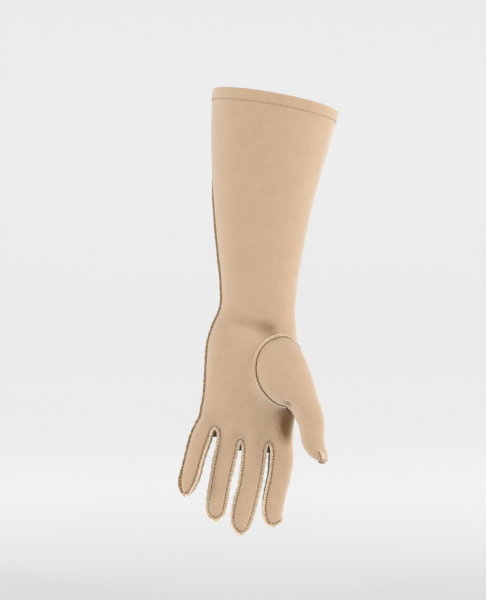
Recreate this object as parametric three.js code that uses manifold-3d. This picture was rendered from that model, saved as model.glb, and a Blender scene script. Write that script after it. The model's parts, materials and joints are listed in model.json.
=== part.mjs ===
// Forearm-length compression glove for a left hand, in its worn shape.
// Millimetres, +Z up: the arm opening is at the top, the fingers point down, the palm faces -Y and
// the thumb points to +X. The origin is the middle of the arm opening.
import * as THREE from 'three';
import { mergeVertices } from 'three/addons/utils/BufferGeometryUtils.js';
import Module from 'manifold-3d';

const wasm = await Module();
wasm.setup();

// Driving dimensions
const WALL = 1.5; // cloth
const GAP = 0.3; // clearance between neighbouring pieces
const HEM_HEIGHT = 11; // folded band at the arm opening
const HEM_WALL = 2.6; // two layers of cloth in the fold
const HEM_TILT = 10.3; // degrees that the opening drops towards the thumb side
const SLEEVE_END = 186; // level where the sleeve gives way to the hand
const THUMB_BASE_END = 268; // level where the ball of the thumb gives way to the thumb
const SEAM_RADIUS = 1.3; // overlocked ridge
const SEAM_LIFT = 0.4; // middle of the ridge above the cloth
const THUMB_SEAM_SIZE = 2.2; // ridge in the crease round the thumb's base
const CUT_SPAN = 300; // side of the blocks that cut whole ends off

// Mesh fineness
const SLEEVE_SIDES = 26;
const SLEEVE_HOLLOW_SIDES = 16;
const FINGER_SIDES = 12;
const FINGER_HOLLOW_SIDES = 8;
const THUMB_SIDES = 16;
const THUMB_HOLLOW_SIDES = 10;
const SEAM_SIDES = 4;
const SEAM_STEP = 12;
const MERGE_TOLERANCE = 1e-4; // corners closer than this are one corner

const CLOTH_COLOUR = 0xceb094;
const SEAM_COLOUR = 0xdfcbab;

// Turns rows of numbers into rows with named columns.
function table(columns, rows) {
  const names = columns.split(' ');
  return rows.map((row) => Object.fromEntries(names.map((name, i) => [name, row[i]])));
}

// One row is one level section: how far it lies below the arm opening, and how far it reaches to the
// left (-X), right (+X), front (-Y, the palm) and back (+Y). An outline with square 2 is an ellipse,
// and a larger value fills its corners.
const SECTION = 'drop left right front back square';

const SLEEVE_AND_HAND = table(SECTION, [
  [-12, -56.7, 61.2, -40.5, 41.5, 2.0],
  [26, -58.4, 52.2, -36.6, 38.2, 2.0],
  [68, -57.5, 40.4, -31.7, 33.2, 2.0],
  [98, -55.4, 32.2, -28.4, 29.7, 2.0],
  [126, -53.0, 26.3, -25.5, 27.0, 2.1],
  [169, -49.0, 19.1, -22.0, 24.0, 2.2],
  [181, -48.8, 18.0, -21.0, 23.2, 2.3],
  [191, -51.2, 17.2, -19.8, 22.2, 2.4],
  [202, -56.0, 18.0, -19.6, 21.0, 2.5],
  [216, -60.5, 20.0, -21.5, 19.5, 2.6],
  [234, -62.3, 21.0, -21.5, 17.5, 2.7],
  [268, -64.8, 19.8, -17.2, 15.0, 2.7],
  [280, -67.0, 18.2, -14.6, 14.0, 2.6],
  [288, -66.5, 17.2, -12.8, 12.8, 2.5],
  [294, -59.0, 16.4, -11.3, 12.0, 2.4],
  [300, -48.0, 14.5, -10.0, 11.0, 2.3],
  [304.5, -37.0, 9.0, -8.0, 9.5, 2.2],
  [307.5, -25.0, 0.0, -5.0, 6.0, 2.1],
]);

const THUMB = table(SECTION, [
  [206.5, 1.5, 7.5, -14.5, -9.0, 2.0],
  [209.6, -2.4, 11.4, -19.0, -7.0, 2.0],
  [214.5, -5.8, 15.5, -23.5, -5.0, 2.0],
  [220.4, -12.9, 21.7, -27.5, -2.5, 2.0],
  [229.2, -18.4, 26.1, -31.0, -1.0, 2.1],
  [240.0, -20.8, 30.0, -33.5, 0.0, 2.1],
  [250.7, -19.0, 33.9, -35.0, -1.0, 2.1],
  [266.2, -8.8, 37.0, -35.5, -5.0, 2.1],
  [271.6, 1.4, 38.6, -35.0, -7.0, 2.1],
  [275.8, 10.4, 39.8, -34.5, -9.0, 2.1],
  [281.6, 15.4, 41.8, -34.0, -12.0, 2.1],
  [289.3, 19.1, 42.3, -34.0, -14.0, 2.1],
  [304.8, 22.6, 41.7, -34.5, -16.0, 2.1],
  [311.5, 26.4, 43.4, -34.5, -18.0, 2.1],
  [317.2, 31.2, 44.4, -33.5, -20.5, 2.1],
  [321.0, 35.4, 43.4, -31.3, -23.3, 2.0],
  [323.0, 38.0, 42.0, -29.0, -25.5, 2.0],
]);

const FINGERS = {
  little: table(SECTION, [
    [272, -60.5, -47.0, -9.0, 9.0, 2.2],
    [284, -67.2, -51.6, -10.3, 9.8, 2.2],
    [297, -74.3, -54.5, -10.5, 9.0, 2.2],
    [315, -79.5, -61.2, -11.5, 6.0, 2.2],
    [333, -83.7, -66.6, -13.5, 3.0, 2.2],
    [341.5, -84.8, -69.3, -14.5, 1.0, 2.2],
    [347.5, -84.4, -72.2, -14.5, -1.0, 2.1],
    [351.7, -82.9, -75.2, -13.3, -3.5, 2.0],
    [354.4, -80.6, -77.6, -11.0, -6.5, 2.0],
  ]),
  ring: table(SECTION, [
    [280, -51.0, -31.0, -10.5, 10.5, 2.2],
    [292.5, -51.8, -30.6, -11.0, 10.5, 2.2],
    [306, -52.4, -32.4, -10.5, 9.0, 2.2],
    [319.5, -54.9, -35.7, -10.5, 8.0, 2.2],
    [333, -57.1, -38.9, -11.0, 6.5, 2.2],
    [357, -60.3, -43.7, -12.0, 4.0, 2.2],
    [365.5, -61.3, -45.2, -12.0, 3.0, 2.2],
    [371, -60.4, -46.6, -11.5, 1.5, 2.1],
    [374.6, -58.0, -49.2, -10.0, -0.8, 2.0],
    [376.6, -55.6, -52.4, -7.5, -4.0, 2.0],
  ]),
  middle: table(SECTION, [
    [284, -29.0, -8.0, -10.5, 10.5, 2.2],
    [295.2, -30.6, -6.8, -11.3, 11.0, 2.2],
    [310.5, -30.6, -8.6, -10.5, 9.5, 2.2],
    [337.5, -32.8, -12.3, -10.5, 8.0, 2.2],
    [351, -35.3, -15.3, -10.8, 7.0, 2.2],
    [364, -38.6, -18.6, -11.0, 6.0, 2.2],
    [373.8, -40.1, -21.6, -11.0, 5.0, 2.2],
    [381.6, -39.4, -24.3, -10.5, 3.0, 2.1],
    [386.6, -36.7, -27.0, -8.5, 0.5, 2.0],
    [389.6, -33.2, -30.2, -6.0, -2.5, 2.0],
  ]),
  index: table(SECTION, [
    [284, -5.5, 14.5, -10.0, 10.0, 2.2],
    [295.2, -6.0, 16.2, -10.6, 10.6, 2.2],
    [310.5, -4.5, 15.6, -10.0, 9.5, 2.2],
    [324, -5.2, 15.8, -10.0, 8.8, 2.2],
    [337.5, -6.8, 13.7, -10.0, 8.0, 2.2],
    [362.5, -11.9, 7.5, -10.0, 6.0, 2.2],
    [371.4, -12.0, 5.9, -9.5, 5.0, 2.2],
    [377.6, -10.5, 4.3, -8.5, 3.5, 2.1],
    [381.5, -8.7, 0.8, -6.5, 1.5, 2.0],
    [383.7, -6.9, -3.6, -4.0, -1.0, 2.0],
  ]),
};

// Angles round a section are in degrees: 0 is right, -90 the palm side, 90 the back, 180 left.
// A fourchette fills the side of each of its two fingers between a palm seam and a back seam. It
// turns over the crotch between them, and the line down from there, at lowX by the floor, parts them.
const FOURCHETTES = table(
  'name first second firstPalm firstBack secondPalm secondBack crotchX crotchDrop lowX',
  [
    ['little_ring', 'little', 'ring', -62, 40, 196, 140, -53.2, 293, -74.0],
    ['ring_middle', 'ring', 'middle', -34, 40, 215, 140, -31.3, 305, -48.4],
    ['middle_index', 'middle', 'index', -40, 40, 218, 140, -6.6, 307, -20.4],
  ],
);
const LITTLE_EDGE = { crotchX: -78, crotchDrop: 283, lowX: -110 };
const INDEX_EDGE = { crotchX: 22, crotchDrop: 300, lowX: 30 };
const FINGER_FLOOR = 400;
const FOURCHETTE_END = 7; // how far above a fingertip the strip stops
const WEDGE_LEVELS = [0, 0.25, 0.5, 0.75, 1]; // sections of the wedge that cuts a finger's side out
const WEDGE_REACH = 1.3; // its size over a finger's half width
const WEDGE_MARGIN = 5; // its further growth, because its apex moves back as it grows
const WEB_WIDTH = 9; // strip where it turns over the crotch
const WEB_HALF_DEPTH = 6.5;
const WEB_BELOW = 3;
const WEB_ABOVE = 6;
const SEAM_LEG_BELOW = 3; // seams follow the fingers from this far below a crotch

// The side seam runs from the hem to the little fingertip and turns from the back to the side.
const SIDE_SEAM = table('drop angle', [
  [14, 154],
  [55, 163],
  [95, 175],
  [135, 182],
  [180, 185],
  [205, 185],
  [245, 186],
  [276, 187],
]);
const LITTLE_SIDE_ANGLE = 188;
const LITTLE_SIDE_START = 290;

const REACHES = ['left', 'right', 'front', 'back', 'square'];

// Section of a table at any drop, on a smooth curve through its rows.
function sectionAt(sections, drop) {
  const drops = sections.map((row) => row.drop);
  const values = sections.flatMap((row) => REACHES.map((name) => row[name]));
  const found = new THREE.CubicInterpolant(drops, values, REACHES.length).evaluate(drop);
  return Object.fromEntries(REACHES.map((name, i) => [name, found[i]]));
}

// Point of a section's outline, moved inwards by inset.
function outlinePoint(section, drop, degrees, inset) {
  const turn = THREE.MathUtils.degToRad(degrees);
  const power = 2 / section.square;
  const reach = (value) => Math.sign(value) * Math.abs(value) ** power;
  const halfWidth = (section.right - section.left) / 2 - inset;
  const halfDepth = (section.back - section.front) / 2 - inset;
  return new THREE.Vector3(
    (section.right + section.left) / 2 + halfWidth * reach(Math.cos(turn)),
    (section.back + section.front) / 2 + halfDepth * reach(Math.sin(turn)),
    -drop,
  );
}

// Closed skin through rings of points that run downwards, each ring anticlockwise from above.
function skinOverRings(rings) {
  const sides = rings[0].length;
  const points = rings.flat();
  const indices = [];
  for (let ring = 0; ring + 1 < rings.length; ring += 1) {
    for (let side = 0; side < sides; side += 1) {
      const upper = ring * sides + side;
      const upperNext = ring * sides + ((side + 1) % sides);
      const lower = upper + sides;
      const lowerNext = upperNext + sides;
      indices.push(upper, lower, lowerNext, upper, lowerNext, upperNext);
    }
  }
  const lastRing = points.length - sides;
  for (let side = 1; side + 1 < sides; side += 1) {
    indices.push(0, side, side + 1);
    indices.push(lastRing, lastRing + side + 1, lastRing + side);
  }
  const geometry = new THREE.BufferGeometry().setFromPoints(points);
  geometry.setIndex(indices);
  return geometry;
}

// Solid lofted through a table. A negative inset grows it all round, and a positive one leaves out
// the closing row, so that the end of a hollow has a wall too.
function loft(sections, sides, inset = 0) {
  const used = inset > 0 ? sections.slice(0, -1) : sections;
  const turns = Array.from({ length: sides }, (_, side) => (360 * side) / sides);
  const grown = Math.max(-inset, 0);
  const rings = used.map((section) => {
    const drop = section.drop + (section === used.at(-1) ? grown : 0);
    return turns.map((turn) => outlinePoint(section, drop, turn, inset));
  });
  return solidFrom(skinOverRings(rings));
}

function solidFrom(geometry) {
  geometry.deleteAttribute('normal');
  geometry.deleteAttribute('uv');
  const merged = mergeVertices(geometry, MERGE_TOLERANCE);
  const vertProperties = new Float32Array(merged.attributes.position.array);
  const triVerts = new Uint32Array(merged.index.array);
  return new wasm.Manifold(new wasm.Mesh({ numProp: 3, vertProperties, triVerts }));
}

function geometryFrom(solid) {
  const mesh = solid.getMesh();
  const geometry = new THREE.BufferGeometry();
  geometry.setAttribute('position', new THREE.BufferAttribute(mesh.vertProperties, 3));
  geometry.setIndex(new THREE.BufferAttribute(mesh.triVerts, 1));
  geometry.computeVertexNormals();
  return geometry;
}

const union = (solids) => solids.reduce((sum, solid) => sum.add(solid));
const cut = (solid, tools) => tools.reduce((rest, tool) => rest.subtract(tool), solid);

// The largest body of a solid, without slivers left where two skins nearly coincide.
function mainBody(solid) {
  const bodies = solid.decompose();
  return bodies.reduce((best, body) => (body.volume() > best.volume() ? body : best));
}

// Everything above a plane drop below the origin, which falls by tilt towards the thumb side.
function above(drop, tilt = 0) {
  const block = new THREE.BoxGeometry(CUT_SPAN, CUT_SPAN, CUT_SPAN);
  block.translate(0, 0, CUT_SPAN / 2 - drop);
  block.rotateY(THREE.MathUtils.degToRad(tilt));
  return solidFrom(block);
}

// The parts of a solid above and below a level, with the clearance between them.
function splitAt(solid, drop) {
  return [solid.intersect(above(drop)), solid.subtract(above(drop + GAP))].map(mainBody);
}

// Outer forms, hollows and forms grown by the clearance
const handForm = loft(SLEEVE_AND_HAND, SLEEVE_SIDES);
const handHollow = loft(SLEEVE_AND_HAND, SLEEVE_HOLLOW_SIDES, WALL);
const handGrown = loft(SLEEVE_AND_HAND, SLEEVE_SIDES, -GAP);
const thumbForm = loft(THUMB, THUMB_SIDES);
const thumbHollow = loft(THUMB, THUMB_HOLLOW_SIDES, WALL);
const thumbGrown = loft(THUMB, THUMB_SIDES, -GAP);

const fingerNames = Object.keys(FINGERS);
const eachFinger = (sides, inset) => fingerNames.map((name) => loft(FINGERS[name], sides, inset));
const fingerForms = eachFinger(FINGER_SIDES, 0);
const fingerHollows = eachFinger(FINGER_HOLLOW_SIDES, WALL);
const fingersGrown = eachFinger(FINGER_SIDES, -GAP);
const clothShell = cut(union([handForm, ...fingerForms]), [handHollow, ...fingerHollows]);
const gloveGrown = union([handGrown, thumbGrown, ...fingersGrown]);

// Prism that holds one finger below the line between the crotches on its two sides.
function fingerRegion(finger, growth) {
  const outline = new THREE.Shape();
  const [left, right] = [LITTLE_EDGE, ...FOURCHETTES, INDEX_EDGE].slice(finger, finger + 2);
  outline.moveTo(left.crotchX, growth - left.crotchDrop);
  outline.lineTo(left.lowX, -FINGER_FLOOR);
  outline.lineTo(right.lowX, -FINGER_FLOOR);
  outline.lineTo(right.crotchX, growth - right.crotchDrop);
  const prism = new THREE.ExtrudeGeometry(outline, { depth: CUT_SPAN, bevelEnabled: false });
  prism.rotateX(Math.PI / 2);
  prism.translate(0, CUT_SPAN / 2, 0);
  return solidFrom(prism);
}

// Wedge along one side of a finger, between two angles of its sections, from the crotch downwards.
function sideWedge(finger, fromDrop, fromAngle, toAngle, growth) {
  const sections = FINGERS[finger];
  const first = fromDrop - growth;
  const last = sections.at(-1).drop - FOURCHETTE_END + growth;
  const middle = THREE.MathUtils.degToRad((fromAngle + toAngle) / 2);
  const halfAngle = THREE.MathUtils.degToRad((toAngle - fromAngle) / 2);
  const rings = WEDGE_LEVELS.map((level) => {
    const drop = THREE.MathUtils.lerp(first, last, level);
    const { left, right, front, back } = sectionAt(sections, drop);
    const radius = (WEDGE_REACH * (right - left)) / 2 + WEDGE_MARGIN * growth;
    const spoke = (turn, length) => new THREE.Vector3(Math.cos(turn), Math.sin(turn), 0).setLength(length);
    const apex = new THREE.Vector3((left + right) / 2, (front + back) / 2, -drop);
    apex.sub(spoke(middle, 1).multiplyScalar(growth / Math.sin(halfAngle)));
    const corners = [-halfAngle, 0, halfAngle].map((turn) => spoke(middle + turn, radius).add(apex));
    return [apex, ...corners];
  });
  return solidFrom(skinOverRings(rings));
}

// Region of the glove's wall that a fourchette takes: two finger sides and the turn at the crotch.
function fourchetteRegion(row, growth) {
  const first = sideWedge(row.first, row.crotchDrop, row.firstPalm, row.firstBack, growth);
  const second = sideWedge(row.second, row.crotchDrop, row.secondBack, row.secondPalm, growth);
  const height = WEB_ABOVE + WEB_BELOW + 2 * growth;
  const depth = 2 * (WEB_HALF_DEPTH + growth);
  const width = WEB_WIDTH + 2 * growth;
  const web = new THREE.BoxGeometry(width, depth, height);
  web.translate(row.crotchX, 0, (WEB_ABOVE - WEB_BELOW) / 2 - row.crotchDrop);
  return union([first, second, solidFrom(web)]);
}

const regions = FOURCHETTES.map((row) => fourchetteRegion(row, 0));
const regionsGrown = FOURCHETTES.map((row) => fourchetteRegion(row, GAP));

// Cloth pieces
const pieces = {};
const sleeveAndHand = mainBody(cut(clothShell, [
  thumbGrown,
  ...regionsGrown,
  ...fingerNames.map((_, finger) => fingerRegion(finger, GAP)),
  above(HEM_HEIGHT + GAP, HEM_TILT),
]));
[pieces.sleeve, pieces.hand] = splitAt(sleeveAndHand, SLEEVE_END);
fingerNames.forEach((name, finger) => {
  const shell = clothShell.intersect(fingerRegion(finger, 0));
  pieces[`${name}_finger`] = mainBody(cut(shell, regionsGrown));
});
FOURCHETTES.forEach((row, i) => {
  pieces[`fourchette_${row.name}`] = mainBody(clothShell.intersect(regions[i]));
});
const thumbShell = mainBody(cut(thumbForm, [thumbHollow, handHollow]));
[pieces.thumb_base, pieces.thumb] = splitAt(thumbShell, THUMB_BASE_END);

const hemForm = handForm.intersect(above(HEM_HEIGHT, HEM_TILT));
const hemHollow = loft(SLEEVE_AND_HAND, SLEEVE_HOLLOW_SIDES, HEM_WALL);
pieces.hem = cut(hemForm, [hemHollow, above(0, HEM_TILT)]);

// Overlocked ridge along a path on the cloth, cut clear of the cloth below it.
function ridge(points) {
  const path = new THREE.CatmullRomCurve3(points, false, 'centripetal');
  const corners = Array.from({ length: SEAM_SIDES }, (_, side) => {
    const turn = (2 * Math.PI * side) / SEAM_SIDES;
    return new THREE.Vector2(SEAM_RADIUS * Math.cos(turn), SEAM_RADIUS * Math.sin(turn));
  });
  const shape = new THREE.Shape(corners);
  const steps = Math.round(path.getLength() / SEAM_STEP);
  const tube = new THREE.ExtrudeGeometry(shape, { steps, extrudePath: path, bevelEnabled: false });
  return mainBody(solidFrom(tube).subtract(gloveGrown));
}

function seamPoint(sections, drop, angle) {
  return outlinePoint(sectionAt(sections, drop), drop, angle, -SEAM_LIFT);
}

// Points down one side of a finger, from just below its crotch to its tip.
function fingerLeg(finger, angle, fromDrop) {
  const sections = FINGERS[finger];
  const drops = sections.map((row) => row.drop).filter((drop) => drop > fromDrop);
  return drops.map((drop) => seamPoint(sections, drop, angle));
}

// Ridge from one fingertip up to the crotch and down to the next fingertip.
function fourchetteSeam(row, firstAngle, secondAngle, crotchY) {
  const legStart = row.crotchDrop + SEAM_LEG_BELOW;
  const crotch = new THREE.Vector3(row.crotchX, crotchY, -row.crotchDrop);
  const first = fingerLeg(row.first, firstAngle, legStart).reverse();
  const second = fingerLeg(row.second, secondAngle, legStart);
  return ridge([...first, crotch, ...second]);
}

for (const row of FOURCHETTES) {
  const { front, back } = sectionAt(SLEEVE_AND_HAND, row.crotchDrop - SEAM_LEG_BELOW);
  pieces[`palm_seam_${row.name}`] = fourchetteSeam(row, row.firstPalm, row.secondPalm, front);
  pieces[`back_seam_${row.name}`] = fourchetteSeam(row, row.firstBack, row.secondBack, back);
}
pieces.side_seam = ridge([
  ...SIDE_SEAM.map((row) => seamPoint(SLEEVE_AND_HAND, row.drop, row.angle)),
  ...fingerLeg('little', LITTLE_SIDE_ANGLE, LITTLE_SIDE_START),
]);
const creaseBand = loft(SLEEVE_AND_HAND, SLEEVE_SIDES, -THUMB_SEAM_SIZE)
  .intersect(loft(THUMB, THUMB_SIDES, -THUMB_SEAM_SIZE));
pieces.thumb_seam = mainBody(creaseBand.subtract(gloveGrown));

// Scene graph
const cloth = new THREE.MeshStandardMaterial({ color: CLOTH_COLOUR, roughness: 0.85, metalness: 0 });
const thread = new THREE.MeshStandardMaterial({ color: SEAM_COLOUR, roughness: 0.9, metalness: 0 });

const glove = new THREE.Group();
glove.name = 'compression_glove';
for (const [name, solid] of Object.entries(pieces)) {
  const mesh = new THREE.Mesh(geometryFrom(solid), name.includes('seam') ? thread : cloth);
  mesh.name = name;
  glove.add(mesh);
}

export default glove;
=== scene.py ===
import json
import math

import bpy
import numpy as np
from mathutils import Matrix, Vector
from mathutils.bvhtree import BVHTree
from mathutils.kdtree import KDTree


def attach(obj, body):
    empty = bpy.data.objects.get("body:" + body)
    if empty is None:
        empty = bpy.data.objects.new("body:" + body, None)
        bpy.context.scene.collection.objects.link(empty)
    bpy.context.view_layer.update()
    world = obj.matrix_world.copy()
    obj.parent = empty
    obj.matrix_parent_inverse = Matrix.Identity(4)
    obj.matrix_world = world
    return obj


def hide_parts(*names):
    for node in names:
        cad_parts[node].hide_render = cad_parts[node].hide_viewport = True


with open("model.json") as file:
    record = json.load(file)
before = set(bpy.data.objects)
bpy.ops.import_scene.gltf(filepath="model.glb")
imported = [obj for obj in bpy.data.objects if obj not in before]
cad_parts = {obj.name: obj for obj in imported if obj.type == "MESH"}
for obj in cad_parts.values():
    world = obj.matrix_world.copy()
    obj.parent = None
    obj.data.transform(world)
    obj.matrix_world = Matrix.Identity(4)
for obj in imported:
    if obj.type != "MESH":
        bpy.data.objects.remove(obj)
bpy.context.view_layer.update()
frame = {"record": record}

# Forearm-length compression glove for a left hand, in its worn shape.
# Sizes are millimetres and become metres where meshes are made. The arm opening is at the top, the
# fingers point down, the palm faces -Y and the thumb points to +X.
MM = 0.001

# Driving dimensions
WALL = 1.2  # cloth
HEM_HEIGHT = 11.0  # folded band at the arm opening
HEM_TILT = math.radians(10.3)  # the opening drops towards the thumb side
VOXEL = 0.9  # fineness of the joined form
SKIN_SHARE = 0.39  # share of its triangles that are kept
SEAM_REACH = 5.0  # the cloth stays fine this near to a seam

# One row is one level section: how far it lies below the arm opening, and how far it reaches to the
# left (-X), right (+X), front (-Y, the palm) and back (+Y). An outline with square 2 is an ellipse,
# and a larger value fills its corners. Columns: drop left right front back square.
SLEEVE_AND_HAND = np.array([
    (-12, -56.7, 61.2, -40.5, 41.5, 2.0),
    (26, -58.4, 52.2, -36.6, 38.2, 2.0),
    (68, -57.5, 40.4, -31.7, 33.2, 2.0),
    (98, -55.4, 32.2, -28.4, 29.7, 2.0),
    (126, -53.0, 26.3, -25.5, 27.0, 2.1),
    (169, -49.0, 19.1, -22.0, 24.0, 2.2),
    (181, -48.8, 18.0, -21.0, 23.2, 2.3),
    (191, -51.2, 17.2, -19.8, 22.2, 2.4),
    (202, -56.0, 18.0, -19.6, 21.0, 2.5),
    (216, -60.5, 20.0, -21.5, 19.5, 2.6),
    (234, -62.3, 21.0, -21.5, 17.5, 2.7),
    (268, -64.8, 19.8, -17.2, 15.0, 2.7),
    (280, -67.0, 18.2, -14.6, 14.0, 2.6),
    (288, -66.5, 17.2, -12.8, 12.8, 2.5),
    (294, -59.0, 16.4, -11.3, 12.0, 2.4),
    (300, -48.0, 14.5, -10.0, 11.0, 2.3),
    (304.5, -37.0, 9.0, -8.0, 9.5, 2.2),
    (307.5, -25.0, 0.0, -5.0, 6.0, 2.1),
])
THUMB = np.array([
    (206.5, 1.5, 7.5, -14.5, -9.0, 2.0),
    (209.6, -2.4, 11.4, -19.0, -7.0, 2.0),
    (214.5, -5.8, 15.5, -23.5, -5.0, 2.0),
    (220.4, -12.9, 21.7, -27.5, -2.5, 2.0),
    (229.2, -18.4, 26.1, -31.0, -1.0, 2.1),
    (240.0, -20.8, 30.0, -33.5, 0.0, 2.1),
    (250.7, -19.0, 33.9, -35.0, -1.0, 2.1),
    (266.2, -8.8, 37.8, -35.5, -5.0, 2.1),
    (271.6, 1.4, 39.5, -35.0, -7.0, 2.1),
    (275.8, 10.4, 40.7, -34.5, -9.0, 2.1),
    (281.6, 14.9, 42.4, -34.0, -12.0, 2.1),
    (289.3, 18.3, 42.9, -34.0, -14.0, 2.1),
    (304.8, 21.2, 41.7, -34.5, -16.0, 2.1),
    (311.5, 24.6, 43.4, -34.5, -18.0, 2.1),
    (317.2, 29.6, 44.8, -33.5, -20.5, 2.1),
    (321.0, 35.4, 44.4, -31.3, -23.3, 2.0),
    (323.0, 38.0, 42.0, -29.0, -25.5, 2.0),
])
FINGERS = {
    "little": np.array([
        (272, -60.5, -47.0, -9.0, 9.0, 2.2),
        (284, -67.2, -51.6, -10.3, 9.8, 2.2),
        (297, -74.3, -54.5, -10.5, 9.0, 2.2),
        (315, -79.5, -61.2, -11.5, 6.0, 2.2),
        (333, -83.7, -66.6, -13.5, 3.0, 2.2),
        (341.5, -84.8, -69.3, -14.5, 1.0, 2.2),
        (347.5, -84.4, -72.2, -14.5, -1.0, 2.1),
        (351.7, -82.9, -75.2, -13.3, -3.5, 2.0),
        (354.4, -80.6, -77.6, -11.0, -6.5, 2.0),
    ]),
    "ring": np.array([
        (280, -51.0, -31.0, -10.5, 10.5, 2.2),
        (292.5, -51.8, -30.6, -11.0, 10.5, 2.2),
        (306, -52.4, -32.4, -10.5, 9.0, 2.2),
        (319.5, -54.9, -35.7, -10.5, 8.0, 2.2),
        (333, -57.1, -38.9, -11.0, 6.5, 2.2),
        (357, -60.3, -43.7, -12.0, 4.0, 2.2),
        (365.5, -61.3, -45.2, -12.0, 3.0, 2.2),
        (371, -60.4, -46.6, -11.5, 1.5, 2.1),
        (374.6, -58.0, -49.2, -10.0, -0.8, 2.0),
        (376.6, -55.6, -52.4, -7.5, -4.0, 2.0),
    ]),
    "middle": np.array([
        (284, -29.0, -8.0, -10.5, 10.5, 2.2),
        (295.2, -30.6, -6.8, -11.3, 11.0, 2.2),
        (310.5, -30.6, -8.6, -10.5, 9.5, 2.2),
        (337.5, -32.8, -12.3, -10.5, 8.0, 2.2),
        (351, -35.3, -15.3, -10.8, 7.0, 2.2),
        (364, -38.6, -18.6, -11.0, 6.0, 2.2),
        (373.8, -40.1, -21.6, -11.0, 5.0, 2.2),
        (381.6, -39.4, -24.3, -10.5, 3.0, 2.1),
        (386.6, -36.7, -27.0, -8.5, 0.5, 2.0),
        (389.6, -33.2, -30.2, -6.0, -2.5, 2.0),
    ]),
    "index": np.array([
        (284, -6.0, 14.5, -10.0, 10.0, 2.2),
        (295.2, -6.8, 16.2, -10.6, 10.6, 2.2),
        (310.5, -6.4, 15.6, -10.0, 9.5, 2.2),
        (324, -6.6, 15.8, -10.0, 8.8, 2.2),
        (337.5, -7.6, 13.7, -10.0, 8.0, 2.2),
        (362.5, -11.9, 7.5, -10.0, 6.0, 2.2),
        (371.4, -12.0, 5.9, -9.5, 5.0, 2.2),
        (377.6, -10.5, 4.3, -8.5, 3.5, 2.1),
        (380.5, -8.9, 1.2, -6.5, 1.5, 2.0),
        (382.4, -6.9, -3.2, -4.0, -1.0, 2.0),
    ]),
}

# Seam round the thumb's base as it shows on the plane y = 0: an oval that reaches further to its left
# and slants a little. Below the fold the thumb hides its seam.
OVAL_MIDDLE = (9.8, 244.2)  # x and drop
OVAL_LEFT, OVAL_RIGHT, OVAL_HALF_HEIGHT = 29.4, 19.0, 32.8
OVAL_SLANT = 0.1
OVAL_END = math.radians(-38)  # it reaches the outer edge of the thumb at this turn
THUMB_FOLD_DROP = OVAL_MIDDLE[1] + OVAL_HALF_HEIGHT
OUTSIDE_THUMB = [(90.0, 300.0), (90.0, 220.0)]

# Needle lines of the palm seams as they show on the plane y = 0: how far each lies inside the right edge
# of the first finger and inside the left edge of the second, at the root and at the tip.
PALM_SEAMS = {
    "little_ring": ((5.0, 4.0), (2.4, 0.6)),
    "ring_middle": ((2.2, 2.2), (3.0, 2.0)),
    "middle_index": ((2.2, 1.0), (4.7, 2.6)),
}
CROTCH_ARCH = 9.0  # a palm seam turns over the crotch within this height
TIP_INSET = 0.5
TIP_OVERLAP = 2.2  # seams pass each other by this much at a fingertip
# The outer seams run on round their fingertips
TIP_ENDS = {"index": [(-1.5, 380.9), (5.0, 376.0)], "little": [(-79.8, 354.2), (-83.0, 352.2)]}

# All back seams have these insets
BACK_INSETS = ((2.4, 1.8), (2.4, 1.8))
# Fingers beside each crotch
NEIGHBOURS = {
    "little_ring": ("little", "ring"),
    "ring_middle": ("ring", "middle"),
    "middle_index": ("middle", "index"),
}
CROTCHES = {"little_ring": (-55.0, 293.0), "ring_middle": (-32.3, 304.9), "middle_index": (-6.5, 307.2)}
FINGER_FLOOR = 400.0
WEB_DROP = 12.0  # the cloth between two fingers slopes back this far below the crotch
WEB_RISE = 4.0  # and starts this far above it
WEB_FRONT = -4.0
WEB_INTO_FINGERS = 2.5
WEB_BACK_GAP = 0.5  # it stays this far inside the backs of the fingers
WEB_LIP = 1.5  # thickness where it ends
WEB_CURVE = 1.5
WEB_ROWS = 9
FINGER_SQUARE = 2.2

# The side seam turns from the back to the side. Columns: drop angle.
SIDE_SEAM = np.array([
    (13, 154), (55, 163), (95, 175), (135, 182), (180, 185), (205, 185), (245, 186), (276, 187),
])
LITTLE_SIDE_ANGLE = 188
LITTLE_SIDE_START = 290
LITTLE_SIDE_STEP = 8.0
LITTLE_SIDE_GAP = 4.0  # no step lies nearer to the tip
SIDE_SEAM_SHORT = 0.3  # it ends this far above the tip

# Overlocked seams: ridge of folded edges with thread wrapped round it
SEAM_HEIGHT = 2.4
SEAM_THICKNESS = 1.2
SEAM_SUNK = 0.6
SEAM_SIDES = 12
SEAM_STEP = 0.6
THREAD_RADIUS = 0.3
STITCH_PITCH = 2.3
STITCH_SLANT = 0.4
SCALLOP = 0.1  # the ridge swells this much between its stitches
WAVER = 0.16  # its size wavers by this share, as cloth fed by hand does
WAVER_STEPS = (5.3, 3.1)
STRAY_TURN = 2.4
STRAY = 0.22  # a stitch strays from its place by up to this share of the pitch
NEEDLE_ASIDE = 1.2  # the needle line lies this far from the middle of the ridge
NEEDLE_DASH = 0.15  # share of the needle line that its stitches fill
CLOSE_DASH = 1.0  # the same on the thumb, where they touch and make one line of painted shadow
NEEDLE_POINTS = 5
NEEDLE_RISE, NEEDLE_DIP = 0.3, 1.6  # a stitch is highest in its middle
NEEDLE_RADIUS = 0.38
# The thumb's needle line, a painted shadow along its crease, is heavier lower down
THUMB_NEEDLE_DROPS, THUMB_NEEDLE_RADII = (215.0, 262.0), (0.2, 0.58)
SIDE_LOOP_RADIUS = 0.42
CHAIN_SWAY, CHAIN_STEPS = 0.35, 6
SEAM_TAPER, SEAM_END_SIZE = 2.0, 0.25  # a ridge narrows over this length to this share
LOOP_TURN, LOOP_POINTS = 135, 10  # a loop goes down from the crest by these degrees on both sides
SMALL_SEAM_THREAD = 0.2  # thread is thinner on small seams, but by less than the ridge


# Level sections


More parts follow.
